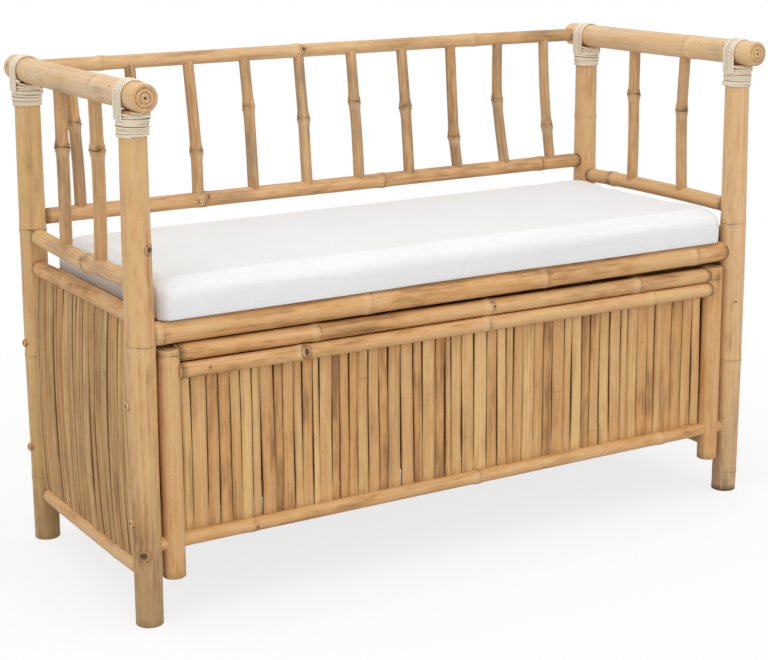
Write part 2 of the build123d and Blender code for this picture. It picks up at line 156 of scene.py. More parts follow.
# Brown stains: pole, place along its axis, heading round it in degrees, reach along it and strength
STAINS = {
    "leg_back_left": ((0.545, -110, 0.022, 0.34), (0.515, -85, 0.016, 0.3), (0.49, -125, 0.026, 0.26),
                      (0.28, -90, 0.02, 0.2), (0.085, -90, 0.03, 0.3)),
    "leg_front_left": ((0.099, -128, 0.018, 0.36), (0.15, -130, 0.04, 0.16), (0.335, -80, 0.012, 0.18),
                       (0.21, -60, 0.04, 0.12), (0.486, -58, 0.02, 0.2)),
    "lower_arm_rail_left": ((-0.035, -50, 0.014, 0.55), (-0.08, -60, 0.04, 0.22), (0.06, -40, 0.05, 0.22)),
    "side_top_rail_left": ((0.02, -50, 0.06, 0.18),),
    "flap_top_rail": ((-0.2, 90, 0.05, 0.24), (0.2, 90, 0.06, 0.2), (0.34, 80, 0.04, 0.22)),
    "seat_rail_front": ((-0.1, 70, 0.03, 0.14), (0.2, 80, 0.05, 0.12)),
    "leg_front_right": ((0.012, -120, 0.018, 0.5), (0.05, -100, 0.03, 0.16)),
    "leg_back_right": ((0.585, -120, 0.016, 0.3), (0.6, -95, 0.012, 0.22)),
    "arm_rail_right": ((-0.15, -75, 0.03, 0.22), (0.07, -100, 0.04, 0.12)),
    "arm_rail_left": ((0.02, -95, 0.06, 0.16), (-0.12, -105, 0.03, 0.14)),
}

# Rows of points near a growth ring, closest at its line
RING_STATIONS = np.array([-16, -12, -9, -7, -5.4, -4.2, -3.2, -2.5, -1.9, -1.3, -0.8, -0.3, 0.1, 0.5, 0.9,
                          1.3, 1.8, 2.5, 3.4, 4.6, 6.2, 8.5, 12, 16]) * 0.001
SLAT_RING_STATIONS = RING_STATIONS[4:20:2]

# Ends of a pole, from the rim inwards, as (share of the radius, distance past the pole's end, darkness)
FLAT_END = ((0.95, 0.0007, 0.0), (0.72, 0.0008, 0.1), (0.5, 0.0008, 0.05), (0.02, 0.0008, 0.1))
ARM_END = ((0.965, 0.0014, 0.12), (0.9, 0.0024, 0.12), (0.8, 0.0029, 0.16), (0.74, 0.0026, 0.24),
           (0.69, 0.0019, 0.4), (0.64, 0.0026, 0.18), (0.56, 0.0031, 0.1), (0.44, 0.0031, 0.16),
           (0.39, 0.0022, 0.42), (0.34, 0.0031, 0.18), (0.2, 0.0034, 0.1), (0.12, 0.0033, 0.2),
           (0.07, 0.0018, 0.85), (0.02, 0.0014, 0.9))
# A peg's head: the dark outline at its rim and its dark small hollow are painted shade
PEG_END = ((1.0, 0.0012, 0.55), (0.93, 0.0024, 0.1), (0.74, 0.0033, 0.0), (0.54, 0.0033, 0.2),
           (0.4, 0.0024, 0.8), (0.03, 0.002, 0.9))

# Slats: how many, how far they reach behind rails and legs, and what a rounded face takes of the thickness
FLAP_SLATS = 52
SIDE_SLATS = 32
REAR_SLATS = 50
SLAT_TUCK = 0.004
SLAT_FACE = 0.0008
FLAP_SLAT_INSET = 0.0015
SIDE_SLAT_OUTSET = 0.003
SIDE_SLAT_THICKNESS = 0.0035
CAD_SIDE_SLAT = 0.004

# Gap between slats, where below zero is an overlap, and sway of a side's slats
REAR_SLAT_GAP = -0.0008
SIDE_SLAT_SPACING = {"left": (0.0012, 0.0011), "right": (-0.0012, 0.0006)}

# Laths of the seat and of the floor, as (count, pitch, width), battens, and what their rounded faces take
SEAT_LATHS = (8, 0.039, 0.03)
FLOOR_LATHS = (9, 0.034, 0.028)
BATTEN_WIDTH = 0.022
LATH_FACE = 0.0009

# Pegs
CAD_PEG_RADIUS = 0.0034
PEG_RADIUS = 0.0058
PEG_LENGTH = 0.0006
PEG_SINK = 0.0036

# Lashings
NECK_TURNS = 10
NECK_POINTS = 60
NECK_STRAND = (0.0015, 0.0011)
NECK_LIFT = 0.004
NECK_GAP = 0.0006
TIE_POINTS = 60
STRAP_STRANDS = 6
STRAP_PITCH = 0.0038
STRAP_GAP = 0.0004
STRAP_SIDE_POINTS = 30
STRAP_TOP_POINTS = 64
TWIST_STEP = 0.0045
SADDLE_RISE = 0.006

# Cushion: how much smaller it is cut than its space, the height left for its crown, corner cut, edge
# radius and the share of it at the ends, waves, draw of the sides, and the cloth's grid and frames
CUSHION_SLACK = 0.003
CUSHION_CROWN = 0.004
CUSHION_CORNER = 0.012
CUSHION_EDGE = 0.019
CUSHION_END_SHARE = 0.35
CUSHION_WAVE = 0.0008
CUSHION_DRAW = 0.003
CUSHION_GRID = 0.005
CLOTH_FRAMES = 20
CLOTH_SETTINGS = {"quality": 6, "mass": 0.3, "tension_stiffness": 12, "compression_stiffness": 12,
                  "bending_stiffness": 0.6, "use_pressure": True, "uniform_pressure_force": 4.0}

SIDES = {"left": -1, "right": 1}
DEPTHS = ("front", "back")
RANDOM_SEED = 4100
piece_count = 0


def piece_random():
    """A new random source for each piece, the same in every run."""
    global piece_count
    piece_count += 1
    return np.random.default_rng(RANDOM_SEED + piece_count)


def ramp(low, high, value):
    """Smooth step from 0 at low to 1 at high."""
    share = np.clip((value - low) / (high - low), 0, 1)
    return share * share * (3 - 2 * share)


def bell(value, width):
    """Smooth bump that is 1 at 0 and fades over the width."""
    return np.exp(-((value / width) ** 2))


def skin(rows):
    """Vertices and faces of a closed tube through rows of points, one row after another."""
    count, around = rows.shape[:2]
    index = np.arange(count * around).reshape(count, around)
    turned = np.roll(index, -1, axis=1)
    quads = np.stack([index[:-1], turned[:-1], turned[1:], index[1:]], axis=-1).reshape(-1, 4)
    faces = quads.tolist()
    faces.append(index[0, ::-1].tolist())
    faces.append(index[-1].tolist())
    return rows.reshape(-1, 3), faces


# Materials

WHITE = (1, 1, 1, 1)

# Places of the colour sockets on a Mix node
MIX_FIRST = 6
MIX_SECOND = 7
MIX_RESULT = 2


class Shading:
    """The node tree of a material or of the world, with short ways to add nodes and get their outputs."""

    def __init__(self, tree):
        self.tree = tree

    def feed(self, node, inputs):
        """Gives inputs of a node their sources, which are sockets or plain values."""
        for socket, source in inputs.items():
            if hasattr(source, "links"):
                self.tree.links.new(source, node.inputs[socket])
            else:
                node.inputs[socket].default_value = source

    def add(self, kind, inputs=None, **settings):
        node = self.tree.nodes.new(f"ShaderNode{kind}")
        for key, value in settings.items():
            setattr(node, key, value)
        self.feed(node, inputs or {})
        return node

    def attribute(self, name, output="Fac"):
        return self.add("Attribute", attribute_name=name).outputs[output]

    def noise(self, vector, stretch, detail, rough=0.5):
        mapped = self.add("Mapping", {"Vector": vector, "Scale": stretch}).outputs[0]
        inputs = {"Vector": mapped, "Scale": 1.0, "Detail": detail, "Roughness": rough}
        return self.add("TexNoise", inputs).outputs["Fac"]

    def combined(self, operation, first, *others):
        for other in others:
            first = self.add("Math", {0: first, 1: other}, operation=operation).outputs[0]
        return first

    def scaled(self, value, low, high, to_low, to_high, **settings):
        inputs = {"Value": value, "From Min": low, "From Max": high, "To Min": to_low, "To Max": to_high}
        return self.add("MapRange", inputs, **settings).outputs["Result"]

    def swayed(self, value, reach):
        return self.scaled(value, 0.3, 0.7, -reach, reach)

    def ramped(self, share, stops):
        """A colour ramp with stops of (place, colour)."""
        node = self.add("ValToRGB", {"Fac": share})
        elements = node.color_ramp.elements
        while len(elements) < len(stops):
            elements.new(0.5)
        for element, (place, colour) in zip(elements, stops):
            element.position = place
            element.color = (*colour, 1)
        return node.outputs["Color"]

    def mixed(self, share, first, second):
        inputs = {"Factor": share, MIX_FIRST: first, MIX_SECOND: second}
        return self.add("Mix", inputs, data_type="RGBA").outputs[MIX_RESULT]

    def bump(self, height, strength, distance):
        inputs = {"Height": height, "Strength": strength, "Distance": distance}
        return self.add("Bump", inputs).outputs["Normal"]

    def surface(self, output, share, first, second):
        """Mixes two shaders into the tree's output node."""
        mixed = self.add("MixShader", {"Fac": share, 1: first, 2: second}).outputs[0]
        self.feed(self.tree.nodes[output], {"Surface": mixed})


def new_material(name):
    """A node material, its Principled shader and its node tree."""
    material = bpy.data.materials.new(name)
    material.use_nodes = True
    return material, material.node_tree.nodes["Principled BSDF"], Shading(material.node_tree)


def bamboo_material(name, stops, roughness, lines, mottling):
    """Bamboo: long fibres, blotches, specks, dark ring lines and scars, painted shade on slats and pegs, and
    pale bands by the rings.

    stops are its colours by tone. lines and mottling are the strengths of fibre lines and of soft flecks.
    """
    material, shader, nodes = new_material(name)
    grain = nodes.attribute("grain", "Vector")
    marks_and_shade = nodes.attribute("marks_and_shade")
    fibres = nodes.noise(grain, (1500, 1500, 7), 3, 0.6)
    streaks = nodes.noise(grain, (330, 330, 2.4), 4, 0.62)
    blotches = nodes.noise(grain, (42, 42, 9), 3, 0.55)
    clouds = nodes.noise(grain, (11, 11, 4), 2)
    specks = nodes.noise(grain, (520, 520, 230), 1)
    cracks = nodes.noise(grain, (640, 640, 4), 2)
    mottle = nodes.noise(grain, (150, 150, 34), 4, 0.55)

    place = nodes.combined("ADD", nodes.attribute("tone"), nodes.swayed(streaks, 0.2 * lines),
                           nodes.swayed(blotches, 0.22), nodes.swayed(mottle, mottling),
                           nodes.swayed(clouds, 0.18))
    fibre_colour = [0.6 * channel for channel in stops[-1][1]]
    fibre_share = nodes.scaled(fibres, 0.4, 0.75, 0.0, 0.32 * lines)
    colour = nodes.mixed(fibre_share, nodes.ramped(place, stops), (*fibre_colour, 1))
    bands = nodes.scaled(nodes.attribute("bloom"), 0, 1, 0, 0.95)
    pale_share = nodes.combined("MULTIPLY", bands, nodes.scaled(blotches, 0.36, 0.62, 0.25, 1.0))
    colour = nodes.mixed(pale_share, colour, (*PALE, 1))
    colour = nodes.mixed(nodes.scaled(specks, 0.735, 0.8, 0.0, 0.5), colour, (*SCAR_AND_SHADE, 1))
    dark = nodes.combined("ADD", marks_and_shade, nodes.scaled(cracks, 0.66, 0.74, 0.0, 0.3 * lines),
                          nodes.scaled(blotches, 0.48, 0.75, 0.0, 0.24),
                          nodes.scaled(mottle, 0.44, 0.72, 0.0, 0.6 * mottling),
                          nodes.swayed(streaks, 0.15 * lines))
    # This darkness also holds painted shade: slat backs and edges, and peg rims and hollows
    colour = nodes.mixed(nodes.scaled(dark, 0.08, 1.0, 0, 0.95), colour, (*SCAR_AND_SHADE, 1))

    wear = nodes.combined("ADD", streaks, marks_and_shade)
    height = nodes.combined("ADD", nodes.scaled(fibres, 0, 1, 0, 0.6), nodes.scaled(streaks, 0, 1, 0, 0.8))
    nodes.feed(shader, {"Base Color": colour, "Normal": nodes.bump(height, 0.35, FIBRE_DEPTH),
                        "Roughness": nodes.scaled(wear, 0.3, 1.2, roughness, roughness + 0.22),
                        "Specular IOR Level": 0.38})
    return material


def cane_material():
    """Split cane of the lashings: pale strands with fine lines along them."""
    material, shader, nodes = new_material("split_cane")
    lines = nodes.noise(nodes.attribute("grain", "Vector"), (1800, 1800, 30), 3)
    place = nodes.combined("ADD", lines, nodes.attribute("tone"))
    stops = [(0.34, (0.54, 0.42, 0.28)), (0.46, (0.82, 0.71, 0.55)), (0.75, (0.88, 0.8, 0.66))]
    nodes.feed(shader, {"Base Color": nodes.ramped(place, stops), "Normal": nodes.bump(lines, 0.5, 0.0005),
                        "Roughness": nodes.scaled(lines, 0, 1, 0.5, 0.75), "Specular IOR Level": 0.3})
    return material


def cotton_material():
    """Off-white cotton: a fine plain weave with faint slubs."""
    material, shader, nodes = new_material("cushion_cotton")
    place = nodes.add("TexCoord").outputs["Object"]
    wave = {"Vector": place, "Scale": 330.0, "Distortion": 0.6, "Detail": 1.0}
    warp, weft = [nodes.add("TexWave", wave, bands_direction=way).outputs["Fac"] for way in "XY"]
    slubs = nodes.noise(place, (60, 420, 420), 3)
    clouds = nodes.add("TexNoise", {"Vector": place, "Scale": 9.0, "Detail": 3}).outputs["Fac"]
    shade = nodes.scaled(nodes.combined("ADD", slubs, clouds), 0, 2, 0, 1)
    stops = [(0.3, (0.785, 0.79, 0.79)), (0.7, (0.835, 0.84, 0.84))]
    height = nodes.combined("ADD", nodes.combined("MULTIPLY", warp, weft), slubs)
    nodes.feed(shader, {"Base Color": nodes.ramped(shade, stops), "Normal": nodes.bump(height, 0.25, 0.0004),
                        "Roughness": nodes.scaled(slubs, 0, 1, 0.8, 0.95), "Sheen Weight": 0.15,
                        "Specular IOR Level": 0.2})
    return material


pole_stops = [(0.05, YELLOW), (0.34, TAN), (0.58, HONEY), (0.95, TOAST)]
slat_stops = [(0.05, STRAW), (0.35, GREY_TAN), (0.6, HONEY), (0.95, TOAST)]
pole_bamboo = bamboo_material("bamboo_pole", pole_stops, roughness=0.44, lines=0.75, mottling=0.17)
slat_bamboo = bamboo_material("bamboo_slat", slat_stops, roughness=0.5, lines=0.9, mottling=0.12)
cane = cane_material()
cotton = cotton_material()

# Slots of hard pieces: first word of a piece's name, material, and the least angle of a sharp edge in degrees
SLOTS = {
    "bamboo_pole": ("bamboo", pole_bamboo, 40),
    "bamboo_slat": ("bamboo", slat_bamboo, 50),
    "cane": ("cane", cane, 40),
}


def make_piece(node, parts, slot, body="frame"):
    """One object from several skins, each with its own grain, tone, marks and painted shade. It stands for a
    CAD node.
    """
    kind, material, sharp = SLOTS[slot]
    points = []
    faces = []
    grain = []
    values = {"tone": [], "marks_and_shade": [], "bloom": []}
    offset = 0
    for part in parts:
        rows = part["rows"]
        part_points, part_faces = skin(rows)
        points.append(part_points)
        faces += [[corner + offset for corner in face] for face in part_faces]
        grain.append(part["grain"].reshape(-1, 3))
        for key, collected in values.items():
            collected.append(np.broadcast_to(part.get(key, 0.0), rows.shape[:2]).reshape(-1))
        offset += len(part_points)
    name = f"{kind}_{node}"
    mesh = bpy.data.meshes.new(name)
    mesh.from_pydata(np.concatenate(points).tolist(), [], faces)
    grain_data = mesh.attributes.new("grain", "FLOAT_VECTOR", "POINT").data
    grain_data.foreach_set("vector", np.concatenate(grain).astype(np.float32).ravel())
    for key, collected in values.items():
        value_data = mesh.attributes.new(key, "FLOAT", "POINT").data
        value_data.foreach_set("value", np.concatenate(collected).astype(np.float32))
    mesh.materials.append(material)
    mesh.shade_smooth()
    mesh.set_sharp_from_angle(angle=math.radians(sharp))
    mesh.update()
    piece = bpy.data.objects.new(name, mesh)
    bpy.context.scene.collection.objects.link(piece)
    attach(piece, body)
    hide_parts(node)


# Poles


def ring_swell(past, size):
    """Swelling of a growth ring past its line: a ridge, a lip below the line and a groove above."""
    ridge = bell(past, 0.008)
    lip = ramp(-0.0026, -0.0008, past) - ramp(-0.0002, 0.0006, past)
    groove = bell(past - 0.0011, 0.0008)
    return size * (ridge + 0.3 * lip - 0.35 * groove)


def pole_directions(start, end):
    """Length of a pole, its direction and two across it: the first is up, or +X on an upright."""
    run = Vector(end) - Vector(start)
    direction = run.normalized()
    side = Vector((0, 0, 1)) if abs(direction.z) < 0.9 else Vector((1, 0, 0))
    first = (side - direction * side.dot(direction)).normalized()
    return run.length, direction, first, direction.cross(first)


def pole_places(length, rings, scars):
    """Places along a pole where it has a row of points, closer together at rings and scars."""
    places = [np.linspace(0, length, max(8, int(length / POLE_ROW_STEP)))]
    places += [ring + RING_STATIONS for ring in rings]
    places += [place + np.linspace(-2.5, 2.5, 21) * size for place, _, size in scars]
    return np.unique(np.round(np.clip(np.concatenate(places), 0, length), 4))


def round_distance(turn, heading, radius):
    """Distance round a pole from a heading in degrees."""
    return np.angle(np.exp(1j * (turn - math.radians(heading)))) * radius


def pole_stray(places, length, rings, crook, random):
    """How far a pole strays from a straight line in its two directions: one bow, and a kink at each ring."""
    bow = crook * np.sin(math.pi * places / length) * random.uniform(0.4, 1.0)
    heading = random.uniform(0, 2 * math.pi)
    first = bow * math.cos(heading)
    second = bow * math.sin(heading)
    for ring in rings:
        below = places / max(ring, 1e-6)
        above = (length - places) / max(length - ring, 1e-6)
        bend = np.where(places < ring, below, above)
        kink = crook * random.uniform(0.3, 1.0)
        heading = random.uniform(0, 2 * math.pi)
        first = first + kink * math.cos(heading) * bend
        second = second + kink * math.sin(heading) * bend
    return first, second


def end_rows(count, end_shape):
    """Rows of a pole and its ends: the place each takes, distance past it, share of radius and darkness."""
    rows = [(0, -beyond, share, dark) for share, beyond, dark in reversed(end_shape)]
    rows += [(index, 0.0, 1.0, 0.0) for index in range(count)]
    rows += [(count - 1, beyond, share, dark) for share, beyond, dark in end_shape]
    taken, beyond, share, dark = [np.array(column) for column in zip(*rows)]
    return taken, beyond[:, None], share[:, None], dark[:, None]


def culm(start, end, radii, rings, scars=(), tone=0.45, crook=0.001, ring_size=0.0009, around=40,
         end_shape=FLAT_END, joint_dark=0.0, ring_dark=0.55, ring_pale=0.15, ring_brown=0.12, stains=(),
         pale=0.0, foot_shade=0.0, foot_dark=0.0, weathered=0.0):
    """Rows, grain and marks of a bamboo pole from start to end. On a peg, the darkness of its end is painted
    shade.

    rings, scars and stains are placed from its start. crook is how far it strays from a straight line, and
    joint_dark how far its ends are darkened. The other dark, brown and pale values are strengths.
    """
    random = piece_random()
    start = Vector(start)
    length, direction, first, second = pole_directions(start, end)
    places = pole_places(length, rings, scars)
    angles = np.arange(around) * 2 * math.pi / around
    past_start = np.repeat(places[:, None], around, axis=1)
    turn = np.repeat(angles[None, :], len(places), axis=0)
    radius = np.interp(past_start, np.linspace(0, length, len(radii)), radii)
    oval = 0.012 * np.cos(2 * turn + random.uniform(0, 6))
    lumps = 0.008 * np.sin(past_start * 21 + turn)
    radius = radius * (1 + oval + lumps)
    marks_and_shade = np.full_like(radius, weathered)
    bloom = np.full_like(radius, pale)

    for ring in rings:
        phase = random.uniform(0, 2 * math.pi)
        past = past_start - ring - 0.0009 * np.cos(turn + phase) - 0.0005 * np.cos(3 * turn + 2 * phase)
        radius = radius + ring_swell(past, ring_size * random.uniform(0.8, 1.2))
        line = ring_dark * bell(past - 0.0007, 0.0007) * (1 + 0.6 * np.cos(turn * 2 + phase))
        shade = ring_brown * bell(past - 0.003, 0.006) * (1 + 0.5 * np.cos(turn * 3 + phase))
        marks_and_shade = np.maximum(marks_and_shade, line + shade)
        bloom = np.maximum(bloom, pale + ring_pale * bell(past + 0.0075, 0.0045))
    for place, heading, reach, strength in stains:
        across = round_distance(turn, heading, radius) / (0.45 * reach)
        along = (past_start - place) / reach
        marks_and_shade = np.maximum(marks_and_shade, strength * np.exp(-(across**2) - along**2))
    for place, heading, size in scars:
        across = round_distance(turn, heading, radius) / (1.25 * size)
        along = (past_start - place) / size
        distance = np.sqrt(across**2 + along**2)
        radius = radius + size * 0.22 * bell(distance, 0.9) - size * 0.2 * bell(distance, 0.35)
        core = 1.1 * np.exp(-((distance / 0.5) ** 4))
        rim = 0.6 * bell(distance - 0.85, 0.16)
        marks_and_shade = np.maximum(marks_and_shade, np.maximum(core, rim))
    marks_and_shade = np.maximum(marks_and_shade, foot_shade * bell(past_start, 0.2))
    marks_and_shade = np.maximum(marks_and_shade, foot_dark * bell(past_start, 0.0028))
    if joint_dark:
        from_end = np.minimum(past_start, length - past_start)
        marks_and_shade = np.maximum(marks_and_shade, 0.8 * bell(from_end, joint_dark))

    stray_first, stray_second = pole_stray(places, length, rings, crook, random)
    taken, beyond, share, dark = end_rows(len(places), end_shape)
    spread = radius[taken] * share
    along = past_start[taken] + beyond
    spread_first = spread * np.cos(turn[taken])
    spread_second = spread * np.sin(turn[taken])
    first_part = spread_first + stray_first[taken][:, None]
    second_part = spread_second + stray_second[taken][:, None]
    points = np.array(start) + along[..., None] * np.array(direction)
    points = points + first_part[..., None] * np.array(first) + second_part[..., None] * np.array(second)
    grain = np.stack([spread_first, spread_second, along], axis=-1) + random.uniform(0, 9, 3)
    on_side = share >= 1
    return {"rows": points, "grain": grain, "tone": tone, "marks_and_shade": np.maximum(marks_and_shade[taken] * on_side, dark),
            "bloom": np.where(on_side, bloom[taken], 0.35 * (dark < 0.3))}


def node_axis(node):
    """Ends and radius of the pole that a CAD node holds, and the axis of its longest side."""
    low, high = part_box(node)
    size = high - low
    axis = max(range(3), key=lambda k: size[k])
    middle = (low + high) / 2
    start = middle.copy()
    end = middle.copy()
    start[axis] = low[axis]
    end[axis] = high[axis]
    others = [size[k] for k in range(3) if k != axis]
    return start, end, min(others) / 2, axis


def add_pole(node, tone, body="frame", radii=None, extend=0.0, thicker=0.0, shifts=((0, 0, 0), (0, 0, 0)),
             **look):
    """Replaces one CAD pole with a detailed one, which may be longer, thicker or shifted."""
    start, end, radius, axis = node_axis(node)
    start[axis] -= extend
    end[axis] += extend
    start += Vector(shifts[0])
    end += Vector(shifts[1])
    rings = RINGS.get(node, ())
    if radii is None:
        radius = radius - (CAD_RING_HEIGHT if rings else 0) + thicker
        radii = (radius, radius)
    along = [place - start[axis] for place in rings]
    scars = [(place - start[axis], heading, size) for place, heading, size in SCARS.get(node, ())]
    stains = [(place - start[axis], *rest) for place, *rest in STAINS.get(node, ())]
    part = culm(start, end, radii, along, scars, tone, stains=stains, **look)
    make_piece(node, [part], "bamboo_pole", body)


# Legs, arms and sides
for depth in DEPTHS:
    for side in SIDES:
        leg_tone, leg_pale, ring_dark, foot_shade, foot_dark = LEG_LOOKS[f"{depth}_{side}"]
        add_pole(f"leg_{depth}_{side}", leg_tone, radii=LEG_RADII, extend=-LEG_TRIM, ring_size=0.0005,
                 around=56, ring_dark=ring_dark, ring_brown=0.06, pale=leg_pale,
                 foot_shade=foot_shade, foot_dark=foot_dark)
for side in SIDES:
    add_pole(f"arm_rail_{side}", 0.42, ring_size=0.0007, crook=0.0008, around=56, end_shape=ARM_END,
             ring_dark=0.25, ring_pale=0.25, pale=0.75)
    add_pole(f"lower_arm_rail_{side}", 0.4, pale=0.15, ring_size=0.0014, crook=0.0024, joint_dark=0.006,
             ring_brown=0.45, ring_dark=0.8 if side == "left" else 0.3)
    add_pole(f"side_top_rail_{side}", 0.52, ring_size=0.0005, joint_dark=0.006, ring_dark=0.3)
    add_pole(f"side_bottom_rail_{side}", 0.32, ring_size=0.0004, joint_dark=0.006,
             ring_dark=0.2, thicker=0.0012)
    for level in ("lower", "upper"):
        add_pole(f"side_mid_rail_{level}_{side}", 0.5, crook=0.0, around=28)
    for place in ("front", "rear"):
        add_pole(f"arm_spindle_{place}_{side}", 0.58, ring_size=0.0019, crook=0.0026, around=32,
                 ring_brown=0.4, ring_dark=0.5, ring_pale=0.35, pale=0.25, weathered=0.2)

# Rails of the back, the seat and the rear panel
add_pole("back_mid_rail", 0.6, pale=0.2, weathered=0.14, crook=0.0014, joint_dark=0.007,
         ring_brown=0.25)
add_pole("back_top_rail", 0.46, pale=0.2, weathered=0.12, ring_size=0.0008, crook=0.0014, ring_pale=0.4,
         ring_dark=0.35)
add_pole("seat_rail_front", 0.52, ring_size=0.0007, crook=0.0012, around=48, joint_dark=0.005, ring_dark=0.45,
         ring_pale=0.3, shifts=((0, 0.004, 0), (0, 0.004, 0)))
add_pole("seat_rail_back", 0.5, around=48)
add_pole("rear_bottom_rail", 0.48)

# Raked spindles of the back, from the middle of the mid rail to the middle of the top rail
mid_start, _, mid_radius, _ = node_axis("back_mid_rail")
top_start, _, top_radius, _ = node_axis("back_top_rail")
for number, ring in enumerate(BACK_SPINDLE_RINGS, start=1):
    node = f"back_spindle_{number}"
    low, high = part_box(node)
    x = (low.x + high.x) / 2
    foot = Vector((x, mid_start.y, mid_start.z))
    head = Vector((x, top_start.y, top_start.z))
    slope = (head - foot).normalized()
    foot = foot + slope * mid_radius * 0.5
    head = head - slope * top_radius * 0.5
    radius = (high.x - low.x) / 2 - CAD_RING_HEIGHT
    random = piece_random()
    spindle = culm(foot, head, (radius * 1.03, radius * 0.97), [(ring - foot.z) / slope.z],
                   tone=random.uniform(0.5, 0.85), crook=0.0034, ring_size=0.0019, around=32,
                   ring_brown=0.35, ring_dark=0.4, ring_pale=0.4, pale=random.uniform(0.15, 0.45),
                   weathered=random.uniform(0.18, 0.34))
    make_piece(node, [spindle], "bamboo_pole")

# Poles of the flap
for side in SIDES:
    add_pole(f"flap_post_{side}", 0.4, "front_flap", ring_size=0.0003, crook=0.0003, around=48,
             ring_dark=0.35, ring_brown=0.2, foot_dark=0.35)
add_pole("flap_bottom_rail", 0.46, "front_flap", ring_size=0.0008, crook=0.0, ring_dark=0.4)
add_pole("flap_top_rail", 0.5, "front_flap", crook=0.0006, joint_dark=0.006, ring_pale=0.5,
         thicker=0.0004, shifts=((0, 0, 0.0032), (0, 0, -0.002)))
add_pole("flap_upper_rail", 0.36, "front_flap", crook=0.0006, joint_dark=0.003,
         extend=0.004, ring_pale=0.3, shifts=((0, 0, 0.0026), (0, 0, -0.0014)))

# Cross bearers under the seat, three in one node
low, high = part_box("seat_bearers")
radius = (high.z - low.z) / 2
z = (low.z + high.z) / 2
bearers = []
for x in (low.x + radius, 0.0, high.x - radius):
    bearers.append(culm((x, low.y, z), (x, high.y, z), (radius, radius), (0.08, 0.23), tone=0.5, crook=0.0,
                        around=28))
make_piece("seat_bearers", bearers, "bamboo_pole")


# Slats


def slat_section(width, thickness, bulge):
    """Section of a slat as points of (across, out): a flat back, eased edges and a slightly rounded face."""
    half = width / 2
    edge = min(0.0012, width * 0.12)
    right = [(half - edge * 0.3, 0), (half, thickness * 0.35), (half, thickness - edge),
             (half - edge * 0.4, thickness - edge * 0.3), (half - edge * 1.3, thickness),
             (half * 0.35, thickness + bulge)]
    left = [(-across, out) for across, out in reversed(right)]
    return np.array([left[-1], *right, *left[:-1]])


def slat(middle, width, thickness, bottom, top, place_of, random, tone, rows=16, bulge=0.0009, lean=0.001,
         sway=0.0004, foot_spread=0.0, weathered=0.0):
    """One split slat. place_of turns (across, out, up) into a point of the part."""
    section = slat_section(width, thickness, bulge)
    section_across = section[None, :, 0]
    section_out = section[None, :, 1]
    length = top - bottom
    heights = np.linspace(0, length, rows)
    ring = random.uniform(-0.25, 1.2) * length
    has_ring = 0.03 * length < ring < 0.97 * length
    if has_ring:
        heights = np.unique(np.clip(np.concatenate([heights, ring + SLAT_RING_STATIONS]), 0, length))
    share = heights / length
    past = heights - ring
    wave = sway * np.sin(share * random.uniform(3, 8) + random.uniform(0, 6))
    drift = lean * random.uniform(-1, 1) * (share - 0.5) * 2 + wave
    widen = 1 - 0.03 * random.uniform(0, 1) * share + 0.012 * np.sin(share * 7 + random.uniform(0, 6))
    widen = widen + foot_spread / width * bell(heights, 0.022)
    swell = ring_swell(past, 0.0003) if has_ring else np.zeros_like(heights)
    lift = random.uniform(-0.0004, 0.0006) + 0.0004 * np.sin(share * 3 + random.uniform(0, 6))
    across = middle + section_across * widen[:, None] + drift[:, None]
    out = section_out + (section_out > 0) * (swell[:, None] + lift[:, None])
    up = np.repeat((bottom + heights)[:, None], len(section), axis=1)
    grain = np.stack(np.broadcast_arrays(section_across, out, up), axis=-1) + random.uniform(0, 9, 3)
    marks_and_shade = np.full(up.shape, weathered)
    if has_ring:
        marks_and_shade = marks_and_shade + (random.uniform(0.0, 0.25) * bell(past - 0.0008, 0.0016))[:, None]
    # Painted shade: the back of each slat, which shows only through the gaps, is darkened
    marks_and_shade = np.maximum(marks_and_shade, 0.4 * (section_out <= 0))
    marks_and_shade = np.maximum(marks_and_shade, 0.3 * bell(np.minimum(heights, length - heights), 0.0022)[:, None])
    # Painted shade: the edges of each slat by the gaps are darkened, most at the very edge
    near_edge = np.abs(section_across) / (width / 2)
    marks_and_shade = np.maximum(marks_and_shade, 0.55 * (near_edge > 0.97) + 0.14 * (near_edge > 0.7))
    return {"rows": place_of(across, out, up), "grain": grain, "tone": tone, "marks_and_shade": marks_and_shade}


def slat_tone(random):
    """Tone of one slat: mostly honey, some straw, some grey-tan and a few toasted."""
    kind = random.uniform()
    if kind < 0.16:
        return random.uniform(0.04, 0.18)
    if kind < 0.4:
        return random.uniform(0.24, 0.38)
    if kind < 0.86:
        return random.uniform(0.44, 0.64)
    return random.uniform(0.64, 0.8)


def upright_panel(node, count, place_of, half_width, bottom, top, thickness, body="frame", spread=0.3,
                  gap=0.0009, tone_shift=0.0, **look):
    """Upright slats that fill a panel, uneven in width, gap, height and colour."""
    random = piece_random()
    shares = 1 + random.uniform(-spread, spread, count)
    edges = np.cumsum(np.concatenate([[0], shares])) / shares.sum() * 2 * half_width - half_width
    parts = []
    for left, right in zip(edges[:-1], edges[1:]):
        space = gap * random.uniform(0.6, 2.2) if random.uniform() > 0.35 else gap * 0.25
        tone = slat_tone(random) + tone_shift
        slat_bottom = bottom + random.uniform(-0.0006, 0.0006)
        slat_top = top + random.uniform(-0.0006, 0.0006)
        parts.append(slat((left + right) / 2, right - left - space, thickness, slat_bottom, slat_top,
                          place_of, random, tone, **look))
    make_piece(node, parts, "bamboo_slat", body)


def facing_place(y, sign):
    """Slats with their backs on a plane at y, that face the front, or the rear where sign is -1."""
    return lambda across, out, up: np.stack([sign * across, y - sign * out, up], axis=-1)


